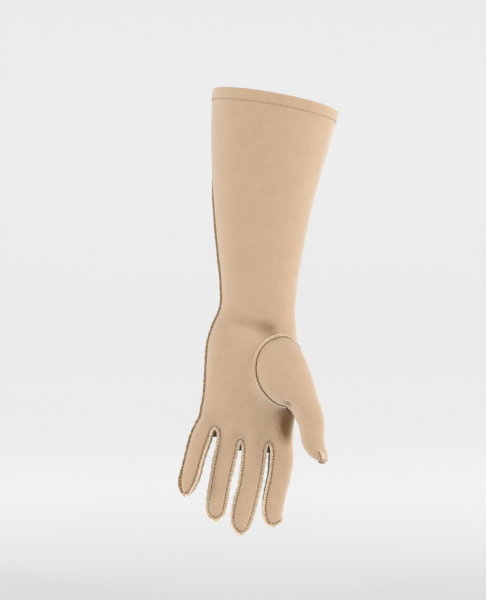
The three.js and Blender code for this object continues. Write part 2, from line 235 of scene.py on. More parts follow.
def smooth_at(knots, values, places):
    """Values at some places, on a smooth curve through those at the knots."""
    slopes = np.gradient(values, knots, axis=0)
    low = np.clip(np.searchsorted(knots, places, side="right") - 1, 0, len(knots) - 2)
    span = np.diff(knots)[low][:, None]
    t = (places - knots[low])[:, None] / span
    return (
        (1 + 2 * t) * (1 - t) ** 2 * values[low]
        + t * (1 - t) ** 2 * span * slopes[low]
        + t**2 * (3 - 2 * t) * values[low + 1]
        + t**2 * (t - 1) * span * slopes[low + 1]
    )


def sections_at(rows, drops):
    """Left, right, front, back and square of a table at some drops."""
    return smooth_at(rows[:, 0], rows[:, 1:], np.clip(drops, rows[0, 0], rows[-1, 0]))


def full_turn(sides):
    return np.linspace(0, 2 * math.pi, sides, endpoint=False)


def ovals_at(rows, drops):
    """Middle and half size across, middle and half size from front to back, and square, at some drops."""
    drops = np.asarray(drops, float)
    left, right, front, back, square = sections_at(rows, drops.ravel()).T.reshape(5, *drops.shape)
    return (left + right) / 2, (right - left) / 2, (front + back) / 2, (back - front) / 2, square


def outline_points(rows, drops, turns):
    """Points of a table's outlines, one for each drop and turn, where a turn of 0 is to the right."""
    drops, turns = np.broadcast_arrays(np.asarray(drops, float), np.asarray(turns, float))
    middle_x, half_width, middle_y, half_depth, square = ovals_at(rows, drops)
    across, deep = np.cos(turns), np.sin(turns)
    x = middle_x + half_width * np.sign(across) * np.abs(across) ** (2 / square)
    y = middle_y + half_depth * np.sign(deep) * np.abs(deep) ** (2 / square)
    return np.stack([x, y, -drops], axis=-1)


def grid_faces(rows, columns):
    """Quads between rings of points, each ring closed on itself."""
    ring, side = np.meshgrid(np.arange(rows - 1), np.arange(columns), indexing="ij")
    after = (side + 1) % columns
    ahead = ring + 1
    corners = [ring * columns + side, ahead * columns + side, ahead * columns + after, ring * columns + after]
    return np.stack(corners, axis=-1).reshape(-1, 4)


def capped_faces(rows, columns):
    """Quads between rings of points, and a cap at each end."""
    size = rows * columns
    caps = [list(range(columns)), list(range(size - 1, size - columns - 1, -1))]
    return grid_faces(rows, columns).tolist() + caps


def loft(rows, sides=96, step=1.0):
    """Closed solid through a table's sections."""
    drops = np.linspace(rows[0, 0], rows[-1, 0], int((rows[-1, 0] - rows[0, 0]) / step) + 1)
    turns = full_turn(sides)
    points = outline_points(rows, drops[:, None], turns[None, :]).reshape(-1, 3)
    return points, capped_faces(len(drops), sides)


def outside(rows, points):
    """Roughly how far points lie outside a table's form, and below zero how far inside."""
    drops = -points[:, 2]
    middle_x, half_width, middle_y, half_depth, square = ovals_at(rows, drops)
    across = np.abs(points[:, 0] - middle_x) / half_width
    deep = np.abs(points[:, 1] - middle_y) / half_depth
    level = (across**square + deep**square) ** (1 / square)
    past_ends = np.maximum(rows[0, 0] - drops, 0) + np.maximum(drops - rows[-1, 0], 0)
    return (level - 1) * np.minimum(half_width, half_depth) + past_ends


# Triangle meshes as arrays


def linked(name, data):
    made = bpy.data.objects.new(name, data)
    bpy.context.scene.collection.objects.link(made)
    return made


def joined(*meshes):
    """Points and faces of several meshes as one."""
    points, faces, start = [], [], 0
    for mesh_points, mesh_faces in meshes:
        points.append(mesh_points)
        faces += [[start + corner for corner in face] for face in mesh_faces]
        start += len(mesh_points)
    return np.concatenate(points), faces


def shaped(points, faces, modifiers, coarse=None):
    """Points and triangles of a mesh after some modifiers. Points marked coarse are thinned out first."""
    mesh = bpy.data.meshes.new("working")
    mesh.from_pydata(points * MM, [], faces)
    working = linked("working", mesh)
    if coarse is not None:
        group = working.vertex_groups.new(name="coarse")
        group.add(np.flatnonzero(coarse).tolist(), 1.0, "REPLACE")
    for kind, settings in modifiers:
        modifier = working.modifiers.new(kind, kind)
        for name, value in settings.items():
            setattr(modifier, name, value)
    graph = bpy.context.evaluated_depsgraph_get()
    final = bpy.data.meshes.new_from_object(working.evaluated_get(graph))
    final.calc_loop_triangles()
    moved = np.empty(len(final.vertices) * 3)
    final.vertices.foreach_get("co", moved)
    triangles = np.empty(len(final.loop_triangles) * 3, int)
    final.loop_triangles.foreach_get("vertices", triangles)
    bpy.data.objects.remove(working)
    bpy.data.meshes.remove(mesh)
    bpy.data.meshes.remove(final)
    return moved.reshape(-1, 3) / MM, triangles.reshape(-1, 3)


def triangle_edges(triangles):
    return np.concatenate([triangles[:, [0, 1]], triangles[:, [1, 2]], triangles[:, [2, 0]]])


def smoothed(points, triangles, weight, rounds):
    """Moves each point towards the middle of its neighbours by its weight, several times."""
    start, end = np.unique(np.sort(triangle_edges(triangles), axis=1), axis=0).T
    size = len(points)
    count = np.bincount(start, minlength=size) + np.bincount(end, minlength=size)
    for _ in range(rounds):
        total = [
            np.bincount(start, points[end, k], size) + np.bincount(end, points[start, k], size)
            for k in range(3)
        ]
        middle = np.stack(total, axis=1) / np.maximum(count, 1)[:, None]
        points = points + weight[:, None] * (middle - points)
    return points


def unit(vectors):
    return vectors / np.maximum(np.linalg.norm(vectors, axis=-1, keepdims=True), 1e-12)


UPRIGHT = 0.9  # a unit vector that rises by more counts as upright


def sideways(vectors):
    """Some direction square to each vector."""
    slanted = np.abs(vectors[..., 2:]) < UPRIGHT
    return unit(np.cross(vectors, np.where(slanted, (0.0, 0.0, 1.0), (1.0, 0.0, 0.0))))


def point_normals(points, triangles):
    a, b, c = (points[triangles[:, k]] for k in range(3))
    across = np.cross(b - a, c - a)
    total = np.zeros_like(points)
    for k in range(3):
        for axis in range(3):
            total[:, axis] += np.bincount(triangles[:, k], across[:, axis], len(points))
    return unit(total)


LEAST_FIELD = 1e-6  # no corner lies right on a cut


def carve(points, triangles, field):
    """Splits triangles along a field's zero line. Gives all points, and triangles inside and outside."""
    values = field(points)
    values = np.where(np.abs(values) < LEAST_FIELD, LEAST_FIELD, values)
    side = values > 0
    inside_corners = side[triangles].sum(axis=1)
    crossed = (inside_corners == 1) | (inside_corners == 2)
    whole, cut = triangles[~crossed], triangles[crossed]
    alone = np.argmax(side[cut] == (inside_corners[crossed] == 1)[:, None], axis=1)
    a, b, c = np.take_along_axis(cut, (alone[:, None] + np.arange(3)) % 3, axis=1).T
    pairs = np.sort(np.concatenate([np.stack([a, b], 1), np.stack([a, c], 1)]), axis=1)
    edges, which = np.unique(pairs, axis=0, return_inverse=True)
    near, far = edges.T
    share = values[near] / (values[near] - values[far])
    fresh = points[near] + share[:, None] * (points[far] - points[near])
    ab, ac = len(points) + which.reshape(2, -1)
    tips = np.stack([a, ab, ac], 1)
    rests = np.concatenate([np.stack([ab, b, c], 1), np.stack([ab, c, ac], 1)])
    rest_inside = np.concatenate([side[b], side[b]])
    inside = np.concatenate([whole[side[whole[:, 0]]], tips[side[a]], rests[rest_inside]])
    outside_part = np.concatenate([whole[~side[whole[:, 0]]], tips[~side[a]], rests[~rest_inside]])
    return np.concatenate([points, fresh]), inside, outside_part


def rim_of(triangles):
    """Edges that only one triangle uses, in that triangle's direction."""
    pairs = triangle_edges(triangles)
    _, first, uses = np.unique(np.sort(pairs, axis=1), axis=0, return_index=True, return_counts=True)
    return pairs[first[uses == 1]]


def walled(points, normals, triangles, thickness):
    """Closed cloth wall behind the given triangles: points, faces and each point's source."""
    used, compact = np.unique(triangles, return_inverse=True)
    outer = compact.reshape(-1, 3)
    size = len(used)
    rim = rim_of(outer)
    sides = np.stack([rim[:, 1], rim[:, 0], rim[:, 0] + size, rim[:, 1] + size], axis=1)
    both = np.concatenate([points[used], points[used] - thickness * normals[used]])
    faces = outer.tolist() + (outer[:, ::-1] + size).tolist() + sides.tolist()
    return both, faces, np.concatenate([used, used])


def polygon_distance(corners, places):
    """Signed distance of flat points to a polygon, above zero inside it."""
    start, end = corners, np.roll(corners, -1, axis=0)
    nearest = np.full(len(places), np.inf)
    inside = np.zeros(len(places), bool)
    for a, b in zip(start, end):
        along = b - a
        t = np.clip(((places - a) @ along) / (along @ along), 0, 1)
        nearest = np.minimum(nearest, np.linalg.norm(places - a - t[:, None] * along, axis=1))
        crosses = (a[1] > places[:, 1]) != (b[1] > places[:, 1])
        at = a[0] + (places[:, 1] - a[1]) / np.where(along[1] == 0, 1, along[1]) * along[0]
        inside ^= crosses & (places[:, 0] < at)
    return np.where(inside, nearest, -nearest)


CURVE_FINENESS = 40  # points worked out for each one that a curve goes through


def lengths_along(line):
    return np.concatenate([[0], np.cumsum(np.linalg.norm(np.diff(line, axis=0), axis=1))])


def at_marks(marks, lengths, values):
    """Values at marks along a line, each column of them on its own."""
    return np.stack([np.interp(marks, lengths, values[:, k]) for k in range(values.shape[1])], axis=-1)


def curve_through(points, step, closed=False):
    """Points about step apart on a smooth curve through the given ones."""
    points = np.asarray(points, float)
    if closed:
        points = np.concatenate([points[-2:], points, points[:3]])
    chord = np.concatenate([[0], np.cumsum(np.sqrt(np.linalg.norm(np.diff(points, axis=0), axis=1)))])
    low_end, high_end = (chord[2], chord[-3]) if closed else (chord[0], chord[-1])
    line = smooth_at(chord, points, np.linspace(low_end, high_end, CURVE_FINENESS * len(points)))
    length = lengths_along(line)
    marks = np.linspace(0, length[-1], max(int(length[-1] / step), 2) + 1)
    return at_marks(marks, length, line)


# Camera at the picture's viewing angle
CAMERA_TARGET = np.array([-29.7, 0.0, -180.0])
CAMERA_DISTANCE = 1000.0
CAMERA_LENS = 66.67
SENSOR_HEIGHT = 36.0
camera_place = CAMERA_TARGET - np.array([0.0, CAMERA_DISTANCE, 0.0])

camera_data = bpy.data.cameras.new("camera")
camera_data.lens = CAMERA_LENS
camera_data.sensor_fit = "VERTICAL"
camera_data.sensor_height = SENSOR_HEIGHT
camera = linked("camera", camera_data)
camera.location = camera_place * MM
camera.rotation_euler = (math.radians(90), 0, 0)
bpy.context.scene.camera = camera


# Skin: the joined outer form of hand, fingers and thumb
GENERAL_WEIGHT, GENERAL_ROUNDS = 0.5, 6
THUMB_BLEND = 21.0  # the thumb's base flows into the palm over this distance
THUMB_BLEND_LEVEL = 1.2  # the blend is full near the crease and fades beyond
THUMB_BLEND_TOP = 195  # drop
THUMB_BLEND_WEIGHT, THUMB_BLEND_ROUNDS = 0.6, 200
THUMB_FOLD = (14.0, 281.0)  # x and drop of the fold by the thumb's crotch, which stays sharp
FOLD_SHARP, FOLD_FADE = 5, 14  # it is sharp within the first distance, and less so over the second
CROTCH_BLEND, CROTCH_BLEND_LEVEL = 8.0, 1.5
CROTCH_BLEND_WEIGHT, CROTCH_BLEND_ROUNDS = 0.5, 20
CROTCH_BLEND_LOWER = 4.0
FOLD_END = 14.4  # the cloth folded in at the hem shows through as a faint step this far down
FOLD_STEP = 0.35
FOLD_SOFTNESS = 0.25

# Dents on the palm side: two that make the hollow at the wrist, one by the thumb's fold, one beside the
# index finger that the thumb covers, and creases at joints.
# Columns: x, drop, half length, half width, depth, slope of the crease.
DENTS = np.array([
    (-30.0, 199.5, 24.0, 12.5, 3.2, 0.3),
    (-6.0, 207.5, 13.0, 12.0, 3.3, 0.3),
    (9.0, 271.5, 5.0, 3.2, 3.6, 0.35),
    (7.0, 293.0, 11.0, 22.0, 5.0, 0.0),
    (-45.5, 308.0, 9.0, 2.2, 0.7, 0.0),
    (-20.0, 312.0, 9.0, 2.4, 0.6, 0.0),
    (-74.0, 323.0, 7.0, 4.0, 0.8, 0.1),
    (-51.5, 347.0, 7.0, 4.0, 0.8, 0.0),
    (-31.0, 363.0, 8.0, 5.0, 0.9, 0.0),
    (-1.5, 356.0, 8.0, 5.0, 1.0, 0.1),
])


def below_opening(points):
    """How far points lie below the tilted plane of the arm opening."""
    return -points[..., 0] * math.sin(HEM_TILT) - points[..., 2] * math.cos(HEM_TILT)


def web_rows(name):
    """Sections of the cloth that turns over the crotch between two fingers and slopes to the back."""
    first, second = NEIGHBOURS[name]
    share = np.linspace(0, 1, WEB_ROWS)
    drops = CROTCHES[name][1] - WEB_RISE + (WEB_DROP + WEB_RISE) * share
    first_rows, second_rows = sections_at(FINGERS[first], drops), sections_at(FINGERS[second], drops)
    left = first_rows[:, 1] - WEB_INTO_FINGERS
    right = second_rows[:, 0] + WEB_INTO_FINGERS
    back = np.minimum(first_rows[:, 3], second_rows[:, 3]) - WEB_BACK_GAP
    front = WEB_FRONT + (back - WEB_LIP - WEB_FRONT) * share**WEB_CURVE
    return np.stack([drops, left, right, front, back, np.full(len(drops), FINGER_SQUARE)], axis=1)


def joined_form():
    parts = [loft(SLEEVE_AND_HAND), loft(THUMB)]
    parts += [loft(rows, sides=64, step=0.8) for rows in FINGERS.values()]
    parts += [loft(web_rows(name), sides=48, step=0.8) for name in CROTCHES]
    return joined(*parts)


def dent_depths(points, normals):
    """How deep the dents are at points of the palm side."""
    facing = np.clip(-normals[:, 1], 0, 1)
    depths = np.zeros(len(points))
    for x, drop, half_length, half_width, depth, slope in DENTS:
        along = points[:, 0] - x
        across = -points[:, 2] - drop - slope * along
        depths += depth * facing * np.exp(-((along / half_length) ** 2) - (across / half_width) ** 2)
    return depths


def fine_skin():
    points, faces = joined_form()
    points, triangles = shaped(points, faces, [("REMESH", {"mode": "VOXEL", "voxel_size": VOXEL * MM})])
    points = smoothed(points, triangles, np.full(len(points), GENERAL_WEIGHT), GENERAL_ROUNDS)
    crease = np.maximum(np.abs(outside(SLEEVE_AND_HAND, points)), np.abs(outside(THUMB, points)))
    blend = np.clip(THUMB_BLEND_LEVEL - crease / THUMB_BLEND, 0, 1) * (points[:, 2] < -THUMB_BLEND_TOP)
    from_fold = np.hypot(points[:, 0] - THUMB_FOLD[0], -points[:, 2] - THUMB_FOLD[1])
    blend *= np.clip((from_fold - FOLD_SHARP) / FOLD_FADE, 0, 1)
    points = smoothed(points, triangles, THUMB_BLEND_WEIGHT * blend, THUMB_BLEND_ROUNDS)
    near_crotch = np.zeros(len(points))
    for x, drop in CROTCHES.values():
        distance = np.hypot(points[:, 0] - x, -points[:, 2] - drop - CROTCH_BLEND_LOWER)
        near_crotch = np.maximum(near_crotch, np.clip(CROTCH_BLEND_LEVEL - distance / CROTCH_BLEND, 0, 1))
    points = smoothed(points, triangles, CROTCH_BLEND_WEIGHT * near_crotch, CROTCH_BLEND_ROUNDS)
    normals = point_normals(points, triangles)
    points = points - dent_depths(points, normals)[:, None] * normals
    fold = 1 / (1 + np.exp((below_opening(points) - FOLD_END) / FOLD_SOFTNESS))
    return points + (FOLD_STEP * fold)[:, None] * normals, triangles


skin_points, skin_triangles = fine_skin()
skin_tree = BVHTree.FromPolygons(skin_points.tolist(), skin_triangles.tolist())


def seen_on_skin(x, drop, depth):
    """Point of the skin that the camera sees at a place on the plane y = 0, or else the nearest to it."""
    place = np.array([x, 0.0, -drop])
    hit = skin_tree.ray_cast(Vector(camera_place), Vector(place - camera_place))[0]
    if hit is None or hit.y > SEAM_BEHIND:
        towards = camera_place + (place - camera_place) * (1 + depth / CAMERA_DISTANCE)
        hit = skin_tree.find_nearest(Vector(towards))[0]
    return np.array(hit)


def seen_line(route, depth):
    return np.array([seen_on_skin(x, drop, depth) for x, drop in route])


def evened(line, rounds, closed=False):
    """A line with each point moved towards the middle of its neighbours."""
    for _ in range(rounds):
        around = (np.roll(line, 1, axis=0) + 2 * line + np.roll(line, -1, axis=0)) / 4
        if not closed:
            around[[0, -1]] = line[[0, -1]]
        line = around
    return line


def settled(line, closed=False):
    """A line pulled onto the skin, and the skin's normals along it made even."""
    found = [skin_tree.find_nearest(Vector(point)) for point in evened(line, LINE_ROUNDS, closed)]
    normals = unit(evened(np.array([hit[1] for hit in found]), NORMAL_ROUNDS, closed))
    return evened(np.array([hit[0] for hit in found]), LAST_ROUNDS, closed), normals


# Seam lines on the skin
LINE_ROUNDS, NORMAL_ROUNDS, LAST_ROUNDS = 7, 8, 2  # how often lines and normals are evened
RIDGE_SHOWS = 1.0  # the thumb's ridge shows this far from the line where it is sewn
SEAM_DEPTH = -7.0  # where a palm seam is looked for when the camera sees past the finger
SEAM_BEHIND = -2.0  # what the camera sees further back than this isn't the finger's palm side
FAR_BEHIND = 200.0
BACK_TIP_DEPTH = -3.0  # where a back seam is looked for past the end of a finger
ROUTE_STEP, ROUTE_GAP = 9.0, 12  # steps down a finger, which stop this far above its tip
TIP_STEPS = np.array([8.0, 4.5, 2.0])  # the last places above the tip
ARCH_POINTS = 9


def behind_skin(x, drop):
    """Point on the back of the skin at a place, or else the nearest to it."""
    hit = skin_tree.ray_cast(Vector((x, FAR_BEHIND, -drop)), Vector((0, -1, 0)))[0]
    if hit is None:
        hit = skin_tree.find_nearest(Vector((x, BACK_TIP_DEPTH, -drop)))[0]
    return np.array(hit)


def seam_leg(finger, side, insets, from_drop, ends):
    """Places of a seam down one side of a finger, -1 left or 1 right, and across its tip."""
    rows = FINGERS[finger]
    tip = rows[-1, 0] - TIP_INSET
    drops = np.concatenate([np.arange(from_drop, tip - ROUTE_GAP, ROUTE_STEP), tip - TIP_STEPS])
    middle, half_width = ovals_at(rows, drops)[:2]
    reach = np.maximum(half_width - np.interp(drops, (from_drop, tip), insets), 0)
    places = np.stack([middle + side * reach, drops], axis=1)
    ending = ends.get(finger, [(middle[-1] - side * TIP_OVERLAP, tip)])
    return np.concatenate([places, ending])


def seam_route(name, insets, ends):
    """Places of a seam from one fingertip over the crotch to the next, on the plane y = 0."""
    first, second = NEIGHBOURS[name]
    crotch_x, crotch_drop = CROTCHES[name]
    up = seam_leg(first, 1, insets[0], crotch_drop + CROTCH_ARCH, ends)[::-1]
    down = seam_leg(second, -1, insets[1], crotch_drop + CROTCH_ARCH, ends)
    turns = np.linspace(0, math.pi, ARCH_POINTS)[1:-1]
    reach = np.where(np.cos(turns) > 0, crotch_x - up[-1, 0], down[0, 0] - crotch_x)
    arch_drops = crotch_drop + CROTCH_ARCH * (1 - np.sin(turns))
    arch = np.stack([crotch_x - reach * np.cos(turns), arch_drops], axis=1)
    return curve_through(np.concatenate([up, arch, down]), SEAM_STEP)


def side_line():
    upper = outline_points(SLEEVE_AND_HAND, SIDE_SEAM[:, 0], np.radians(SIDE_SEAM[:, 1]))
    rows = FINGERS["little"]
    tip = rows[-1, 0]
    steps = np.arange(LITTLE_SIDE_START, tip - LITTLE_SIDE_GAP, LITTLE_SIDE_STEP)
    drops = np.append(steps, tip - SIDE_SEAM_SHORT)
    lower = outline_points(rows, drops, math.radians(LITTLE_SIDE_ANGLE))
    return curve_through(np.concatenate([upper, lower]), SEAM_STEP)


def moved_aside(course, distance):
    """A seam's course moved over the skin, to the left as one looks along it from outside."""
    line, normals = course
    return settled(line - distance * unit(np.cross(np.gradient(line, axis=0), normals)))


seam_courses = {}
for name, insets in PALM_SEAMS.items():
    palm_line = seen_line(seam_route(name, insets, TIP_ENDS), SEAM_DEPTH)
    back_line = np.array([behind_skin(x, drop) for x, drop in seam_route(name, BACK_INSETS, {})])
    seam_courses[f"palm_seam_{name}"] = moved_aside(settled(palm_line), -NEEDLE_ASIDE)
    seam_courses[f"back_seam_{name}"] = settled(back_line)
seam_courses["side_seam"] = settled(side_line())


# Panels
THUMB_SEAM_SHIFT = 1.0  # how far the seam lies inside the crease at the thumb's base
SEEN_WITHIN = 1.0  # a point is in sight where the camera's view of it ends this near
THUMB_LEFT, THUMB_TOP = -30, 200  # no part of the thumb lies further left or higher
OVAL_POINTS = 60
OUTLINE_EVERY = 4  # a fourchette's outline takes one in so many points of its seams


def above_hem(points):
    return HEM_HEIGHT - below_opening(points)


def thumb_oval():
    """Corners of the thumb's part of the picture, on the plane y = 0."""
    turns = np.linspace(OVAL_END, -1.5 * math.pi, OVAL_POINTS)
    across, rise = np.cos(turns), OVAL_HALF_HEIGHT * np.sin(turns)
    x = OVAL_MIDDLE[0] + OVAL_SLANT * rise + np.where(across > 0, OVAL_RIGHT, OVAL_LEFT) * across
    edge = np.stack([x, OVAL_MIDDLE[1] + rise], axis=1)
    return np.concatenate([edge, [(edge[-1, 0], OUTSIDE_THUMB[0][1])], OUTSIDE_THUMB])


def thumb_side(points):
    """Field that is above zero on the thumb: inside its oval where the camera sees it, else by its form."""
    field = outside(SLEEVE_AND_HAND, points) - outside(THUMB, points) - THUMB_SEAM_SHIFT
    sight = points - camera_place
    flat = camera_place + sight * (CAMERA_DISTANCE / sight[:, 1:2])
    in_oval = polygon_distance(thumb_oval(), flat[:, [0, 2]] * (1, -1))
    near = (points[:, 0] > THUMB_LEFT) & (points[:, 2] < -THUMB_TOP) & (flat[:, 2] > -THUMB_FOLD_DROP)
    for index in np.flatnonzero(near):
        hit = skin_tree.ray_cast(Vector(camera_place), Vector(sight[index]))[0]
        if hit is not None and (hit - Vector(points[index])).length < SEEN_WITHIN:
            field[index] = in_oval[index] - RIDGE_SHOWS
    return field


def between_fingers(name):
    """Field that is above zero on the cloth between two fingers' seams."""
    palm = seam_courses[f"palm_seam_{name}"][0][:, [0, 2]]
    back = seam_courses[f"back_seam_{name}"][0][:, [0, 2]]
    floor = np.array([[palm[-1, 0], -FINGER_FLOOR], [palm[0, 0], -FINGER_FLOOR]])
    first, second = NEIGHBOURS[name]

    def field(points):
        flat = points[:, [0, 2]]
        drops = -points[:, 2]
        nearer_first = np.abs(outside(FINGERS[first], points)) < np.abs(outside(FINGERS[second], points))
        middles = [sections_at(FINGERS[finger], drops)[:, 2:4].mean(axis=1) for finger in (first, second)]
        on_palm = points[:, 1] < np.where(nearer_first, *middles)
        in_palm = polygon_distance(np.concatenate([palm[::OUTLINE_EVERY], floor]), flat)
        in_back = polygon_distance(np.concatenate([back[::OUTLINE_EVERY], floor]), flat)
        return np.where(on_palm, in_palm, in_back)

    return field


def distance_to(course_points, points):
    tree = KDTree(len(course_points))
    for index, point in enumerate(course_points):
        tree.insert(point, index)
    tree.balance()
    return np.array([tree.find(point)[2] for point in points])


seam_points = np.concatenate([course[0] for course in seam_courses.values()])
far_from_seams = distance_to(seam_points, skin_points) > SEAM_REACH
far_from_seams &= np.abs(thumb_side(skin_points)) > 2 * SEAM_REACH
thinning = [("DECIMATE", {"ratio": SKIN_SHARE, "vertex_group": "coarse"})]
points, triangles = shaped(skin_points, skin_triangles, thinning, far_from_seams)
panels = {}
points, _, triangles = carve(points, triangles, above_hem)
points, panels["thumb"], triangles = carve(points, triangles, thumb_side)
for name in PALM_SEAMS:
    points, panels[f"fourchette_{name}"], triangles = carve(points, triangles, between_fingers(name))
panels["main_panel"] = triangles
panel_points = points


def rim_loop(triangles):
    """Corners of the longest loop of a part's rim, in order."""
    after = dict(rim_of(triangles).tolist())
    loops = []
    while after:
        start, corner = after.popitem()
        loop = [start]
        while corner != start and corner in after:
            loop.append(corner)
            corner = after.pop(corner)
        loops.append(loop)
    return max(loops, key=len)


def resampled(line, step):
    """Points about step apart along a closed line."""
    closed = np.concatenate([line, line[:1]])
    length = lengths_along(closed)
    return at_marks(np.linspace(0, length[-1], int(length[-1] / step), endpoint=False), length, closed)


def led_past(line, corners):
    """A closed line led smoothly past some corners, each with the distance at which it leaves its course."""
    kept = np.ones(len(line), bool)
    for corner, reach in corners:
        kept &= np.linalg.norm(line - corner, axis=1) > reach
    return curve_through(line[kept], SEAM_STEP, closed=True)[:-1]


# Corners of the thumb's rim, where it goes out of sight of the camera
OUTER_CORNER_REACH = 14.0
FOLD_CORNER = (13.5, 277.0)  # x and drop
FOLD_CORNER_REACH = 5.0
RIM_ROUNDS = 12
rim_corners = [
    (seen_on_skin(*thumb_oval()[0], SEAM_DEPTH), OUTER_CORNER_REACH),
    (seen_on_skin(*FOLD_CORNER, SEAM_DEPTH), FOLD_CORNER_REACH),
]
thumb_rim = led_past(resampled(panel_points[rim_loop(panels["thumb"])], SEAM_STEP), rim_corners)
seam_courses["thumb_seam"] = settled(evened(thumb_rim, RIM_ROUNDS, closed=True), closed=True)


# Materials
COLOURS = {material["slot"]: material["base_color"] for material in frame["record"]["materials"]}
CLOTH_DEPTH = (0.88, 0.86, 0.79)  # the cloth's own colour under its pale sheen
SEAM_PAINTED_SHADE = (0.75, 0.56, 0.36, 1)  # painted shade on the cloth in the valley beside a seam
SEAM_VALLEY = (0.6, 1.8)  # the painted valley shade is darkest and ends at these distances
PAINTED_OCCLUSION_SHADE = (0.27, 0.17, 0.03, 1)  # painted shade on cloth between the fingers and under the thumb, where other cloth is near
PAINTED_OCCLUSION_SPAN = (0.2, 0.75)  # share of near cloth at which that painted shade starts and is full
WHITE = (1, 1, 1, 1)
SHEEN_TINT = (0.95, 0.97, 0.95, 1)
CLOTH_ROUGHNESS, SHEEN_ROUGHNESS, THREAD_ROUGHNESS, SPECULAR = 0.85, 0.6, 0.8, 0.2
NOISE_SPAN = (0.25, 0.75)
# Scale, detail, darkest and lightest tone of the noise in each surface
MOTTLE, GRAIN, FIBRES = (90, 4, 0.96, 1.04), (1100, 2, 0.9, 1.1), (1500, 2, 0.84, 1.12)
KNIT = {"Scale": 1900}
KNIT_RELIEF = {"Strength": 0.25, "Distance": 0.0002}


class Nodes:
    """Short way to add and join a material's nodes."""

    def __init__(self, material):
        self.tree = material.node_tree

    def set(self, node, sockets):
        """Gives each named socket its value, or joins it to another node's output."""
        for name, value in sockets.items():
            if isinstance(value, bpy.types.NodeSocket):
                self.tree.links.new(value, node.inputs[name])
            else:
                node.inputs[name].default_value = value

    def add(self, kind, sockets=None, **settings):
        node = self.tree.nodes.new(f"ShaderNode{kind}")
        for name, value in settings.items():
            setattr(node, name, value)
        self.set(node, sockets or {})
        return node

    def ranged(self, value, span, to=(0, 1), kind="LINEAR"):
        """A value brought from one span to another."""
        sockets = {"Value": value, "From Min": span[0], "From Max": span[1], "To Min": to[0], "To Max": to[1]}
        return self.add("MapRange", sockets, interpolation_type=kind).outputs["Result"]

    def mixed(self, first, second, factor=1, kind="MULTIPLY"):
        sockets = {"Factor": factor, "A": first, "B": second}
        return self.add("Mix", sockets, data_type="RGBA", blend_type=kind).outputs["Result"]

    def noise_tone(self, place, scale, detail, low, high):
        """Tone that varies between two values over the surface."""
        noise = self.add("TexNoise", {"Scale": scale, "Detail": detail, "Vector": place})
        return self.ranged(noise.outputs["Fac"], NOISE_SPAN, (low, high))

    def attribute_shade(self, name, span, low_colour, high_colour):
        """Colour that goes from one to another as a mesh attribute passes through a span."""
        source = self.add("Attribute", attribute_name=name).outputs["Fac"]
        return self.mixed(low_colour, high_colour, self.ranged(source, span, kind="SMOOTHSTEP"), "MIX")


def principled(name, sockets):
    material = bpy.data.materials.new(name)
    material.use_nodes = True
    nodes = Nodes(material)
    shader = material.node_tree.nodes["Principled BSDF"]
    nodes.set(shader, sockets)
    return material, nodes, shader


def cloth_material(name, colour, sheen):
    """Fine elastic knit, with painted shade beside the seams and where other cloth is near or the cloth is
    dented.
    """
    material, nodes, shader = principled(name, {
        "Base Color": (*colour, 1),
        "Roughness": CLOTH_ROUGHNESS,
        "Sheen Weight": sheen,
        "Sheen Tint": SHEEN_TINT,
        "Sheen Roughness": SHEEN_ROUGHNESS,
        "Specular IOR Level": SPECULAR,
    })
    place = nodes.add("TexCoord").outputs["Object"]
    shade = nodes.mixed((*colour, 1), nodes.noise_tone(place, *MOTTLE))
    shade = nodes.mixed(shade, nodes.noise_tone(place, *GRAIN))
    # painted shade in the valleys beside the seams
    shade = nodes.mixed(shade, nodes.attribute_shade("seam_distance", SEAM_VALLEY, SEAM_PAINTED_SHADE, WHITE))
    # painted occlusion shade where other cloth is near and in the dents
    shade = nodes.mixed(shade, nodes.attribute_shade("painted_occlusion", PAINTED_OCCLUSION_SPAN, WHITE, PAINTED_OCCLUSION_SHADE))
    knit = nodes.add("TexVoronoi", {**KNIT, "Vector": place}).outputs["Distance"]
    bump = nodes.add("Bump", {**KNIT_RELIEF, "Height": knit}).outputs["Normal"]
    nodes.set(shader, {"Base Color": shade, "Normal": bump})
    return material


def thread_material(name, colour, sheen=0.0):
    material, nodes, shader = principled(name, {
        "Base Color": (*colour, 1),
        "Roughness": THREAD_ROUGHNESS,
        "Sheen Weight": sheen,
        "Specular IOR Level": SPECULAR,
    })
    place = nodes.add("TexCoord").outputs["Object"]
    nodes.set(shader, {"Base Color": nodes.mixed((*colour, 1), nodes.noise_tone(place, *FIBRES))})
    return material


cloth = cloth_material("cloth", tuple(np.multiply(COLOURS["cloth"], CLOTH_DEPTH)), 0.75)
# copy of the cloth for the fourchettes with its sheen nearly taken out, so that their painted shade stays
# dark brown
shade_cloth_copy = cloth_material("cloth between the fingers", tuple(COLOURS["cloth"]), 0.1)
cream_thread = thread_material("cream thread", (0.93, 0.81, 0.62), 0.3)
# dark brown painted shade for the needle holes, the side seam's loops and the thumb's crease
shade_brown_thread = thread_material("brown thread", (0.11, 0.055, 0.017))
# gold thread and the tan edge below paint the side seam darker for the shade it lies in
shaded_gold_thread = thread_material("gold thread", (0.44, 0.26, 0.09))
raw_edge = thread_material("raw cloth edge", (0.60, 0.43, 0.27))
shaded_tan_edge = thread_material("tan cloth edge", (0.52, 0.33, 0.14))
# painted light on the thumb tip's flap, and painted shade along its stitching
painted_lit_edge = thread_material("pale cloth edge", (0.76, 0.60, 0.44), 0.3)
painted_shadow_edge = thread_material("brown cloth edge", (0.30, 0.19, 0.09))
dark_edge = thread_material("dark cloth edge", (0.36, 0.23, 0.12))


# Pieces


def smooth_mesh(name, points, faces, material):
    mesh = bpy.data.meshes.new(name)
    mesh.from_pydata(points * MM, [], faces)
    mesh.shade_smooth()
    mesh.materials.append(material)
    return mesh


